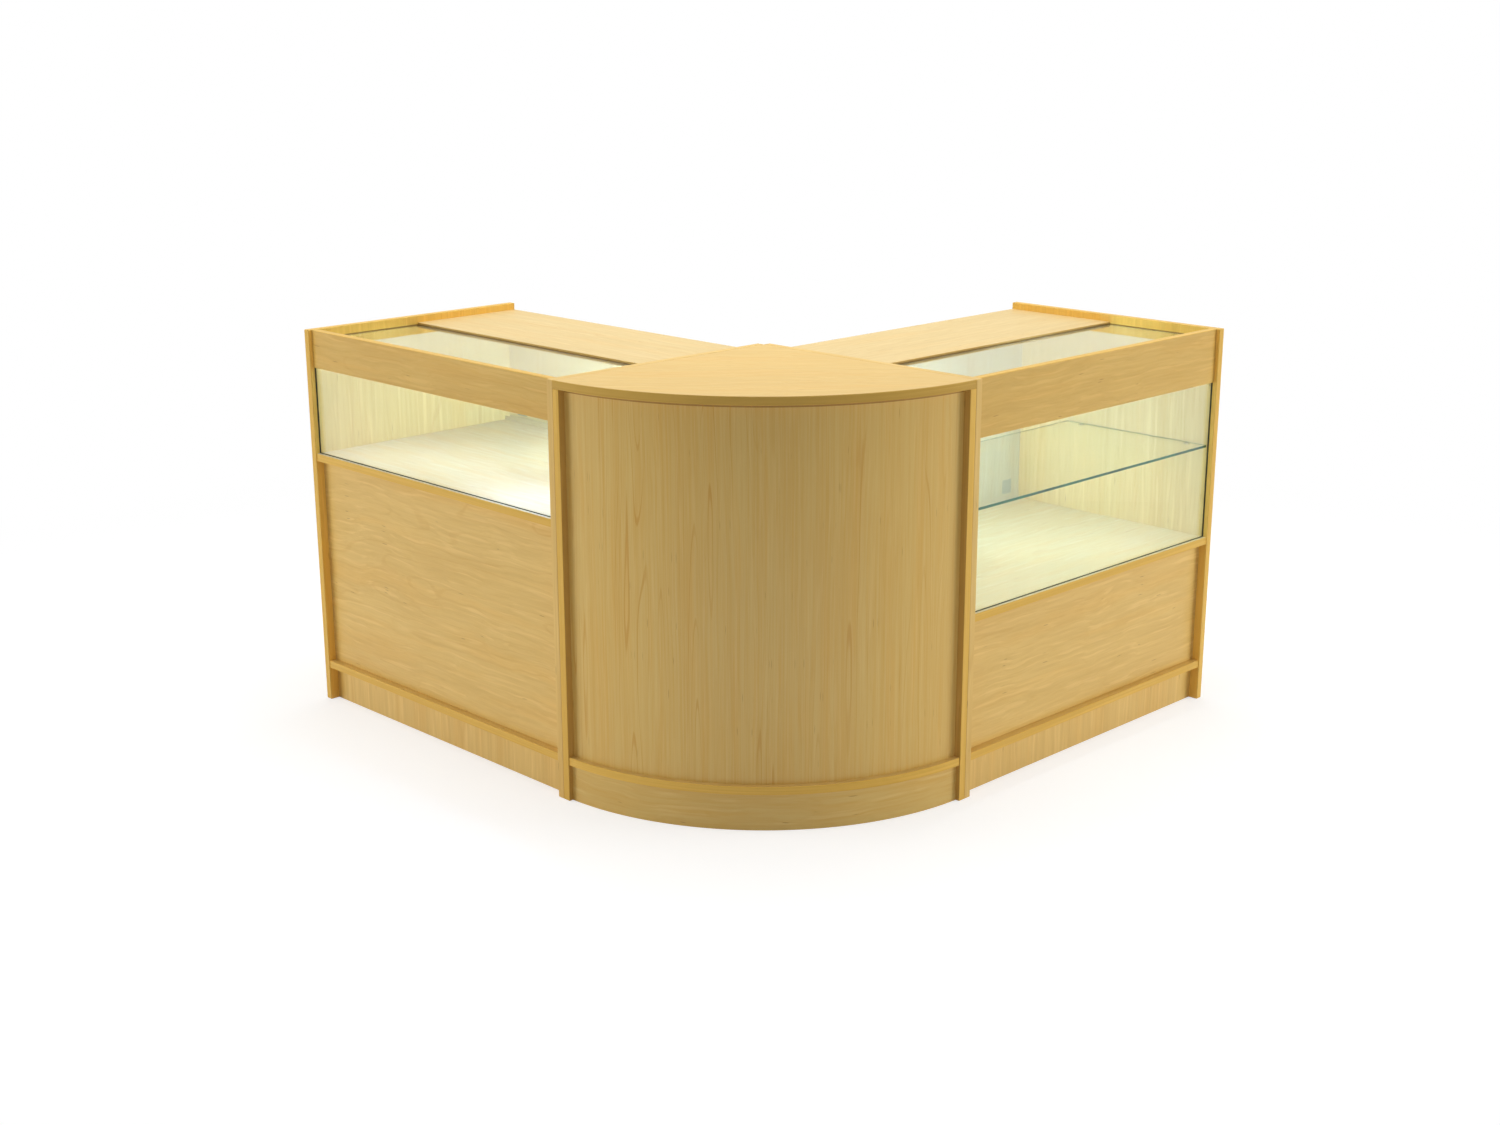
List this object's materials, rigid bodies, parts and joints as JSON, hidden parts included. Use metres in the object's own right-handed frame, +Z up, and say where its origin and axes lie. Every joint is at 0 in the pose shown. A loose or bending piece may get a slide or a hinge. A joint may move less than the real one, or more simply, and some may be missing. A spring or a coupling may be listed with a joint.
{
  "type": "shop counter",
  "caption": "L-shaped maple-effect shop counter: a quarter-round corner joins two glazed display counters with rear sliding doors and open storage below.",
  "frame": {"origin": "on the floor, at the middle of the square that holds the floor plan", "axes": "+Z up; the right counter runs along +X with its glazed front facing -Y; the left counter runs along +Y with its glazed front facing -X; the round corner points to -X and -Y"},
  "size_m": [1.5, 1.5, 0.9],
  "materials": {
    "maple_board": "satin maple-effect facing",
    "clear_glass": "polished float glass",
    "track_plastic": "moulded, maple coloured",
    "light_aluminium": "anodised",
    "opal_diffuser": "opal",
    "pull_steel": "brushed",
    "lock_steel": "satin nickel",
    "barrel_chrome": "polished",
    "stud_steel": "nickel plated",
    "bolt_steel": "zinc plated"
  },
  "bodies": {
    "counter": {"corner_base_board": "maple_board", "corner_front_panel": "maple_board", "corner_left_side": "maple_board", "corner_plinth": "maple_board", "corner_rib": "maple_board", "corner_right_side": "maple_board", "corner_top": "maple_board", "left_base_board": "maple_board", "left_bottom_track": "track_plastic", "left_connector_bolts": "bolt_steel", "left_display_deck": "maple_board", "left_front_glass": "clear_glass", "left_front_panel": "maple_board", "left_front_plinth": "maple_board", "left_header": "maple_board", "left_inner_end_panel": "maple_board", "left_light_channel": "light_aluminium", "left_light_diffuser": "opal_diffuser", "left_outer_end_panel": "maple_board", "left_rear_plinth": "maple_board", "left_storage_shelf": "maple_board", "left_storage_shelf_studs": "stud_steel", "left_top_glass": "clear_glass", "left_top_track": "track_plastic", "left_wood_top": "maple_board", "right_base_board": "maple_board", "right_bottom_track": "track_plastic", "right_connector_bolts": "bolt_steel", "right_display_deck": "maple_board", "right_front_glass": "clear_glass", "right_front_panel": "maple_board", "right_front_plinth": "maple_board", "right_glass_shelf": "clear_glass", "right_glass_shelf_studs": "stud_steel", "right_header": "maple_board", "right_inner_end_panel": "maple_board", "right_light_channel": "light_aluminium", "right_light_diffuser": "opal_diffuser", "right_outer_end_panel": "maple_board", "right_rear_plinth": "maple_board", "right_top_glass": "clear_glass", "right_top_track": "track_plastic", "right_wood_top": "maple_board"},
    "left_outer_sliding_door": {"left_outer_door": "maple_board", "left_outer_door_pull": "pull_steel", "left_outer_door_lock": "lock_steel"},
    "left_outer_key_barrel": {"left_outer_lock_barrel": "barrel_chrome"},
    "left_inner_sliding_door": {"left_inner_door": "maple_board", "left_inner_door_pull": "pull_steel", "left_inner_door_lock": "lock_steel"},
    "left_inner_key_barrel": {"left_inner_lock_barrel": "barrel_chrome"},
    "right_inner_sliding_door": {"right_inner_door": "maple_board", "right_inner_door_pull": "pull_steel", "right_inner_door_lock": "lock_steel"},
    "right_inner_key_barrel": {"right_inner_lock_barrel": "barrel_chrome"},
    "right_outer_sliding_door": {"right_outer_door": "maple_board", "right_outer_door_pull": "pull_steel", "right_outer_door_lock": "lock_steel"},
    "right_outer_key_barrel": {"right_outer_lock_barrel": "barrel_chrome"}
  },
  "joints": [
    {"name": "left_outer_door_slide", "type": "slide", "parent": "counter", "child": "left_outer_sliding_door", "axis": [0, -1, 0], "range_m": [0, 0.415]},
    {"name": "left_outer_lock_turn", "type": "hinge", "parent": "left_outer_sliding_door", "child": "left_outer_key_barrel", "pos_m": [-0.1602, 0.6825, 0.641], "axis": [1, 0, 0], "range_deg": [0, 90]},
    {"name": "left_inner_door_slide", "type": "slide", "parent": "counter", "child": "left_inner_sliding_door", "axis": [0, -1, 0], "range_m": [-0.415, 0]},
    {"name": "left_inner_lock_turn", "type": "hinge", "parent": "left_inner_sliding_door", "child": "left_inner_key_barrel", "pos_m": [-0.175, -0.0825, 0.641], "axis": [1, 0, 0], "range_deg": [0, 90]},
    {"name": "right_inner_door_slide", "type": "slide", "parent": "counter", "child": "right_inner_sliding_door", "axis": [1, 0, 0], "range_m": [0, 0.415]},
    {"name": "right_inner_lock_turn", "type": "hinge", "parent": "right_inner_sliding_door", "child": "right_inner_key_barrel", "pos_m": [-0.0825, -0.1602, 0.437], "axis": [0, 1, 0], "range_deg": [0, 90]},
    {"name": "right_outer_door_slide", "type": "slide", "parent": "counter", "child": "right_outer_sliding_door", "axis": [1, 0, 0], "range_m": [-0.415, 0]},
    {"name": "right_outer_lock_turn", "type": "hinge", "parent": "right_outer_sliding_door", "child": "right_outer_key_barrel", "pos_m": [0.6825, -0.175, 0.437], "axis": [0, 1, 0], "range_deg": [0, 90]}
  ]
}
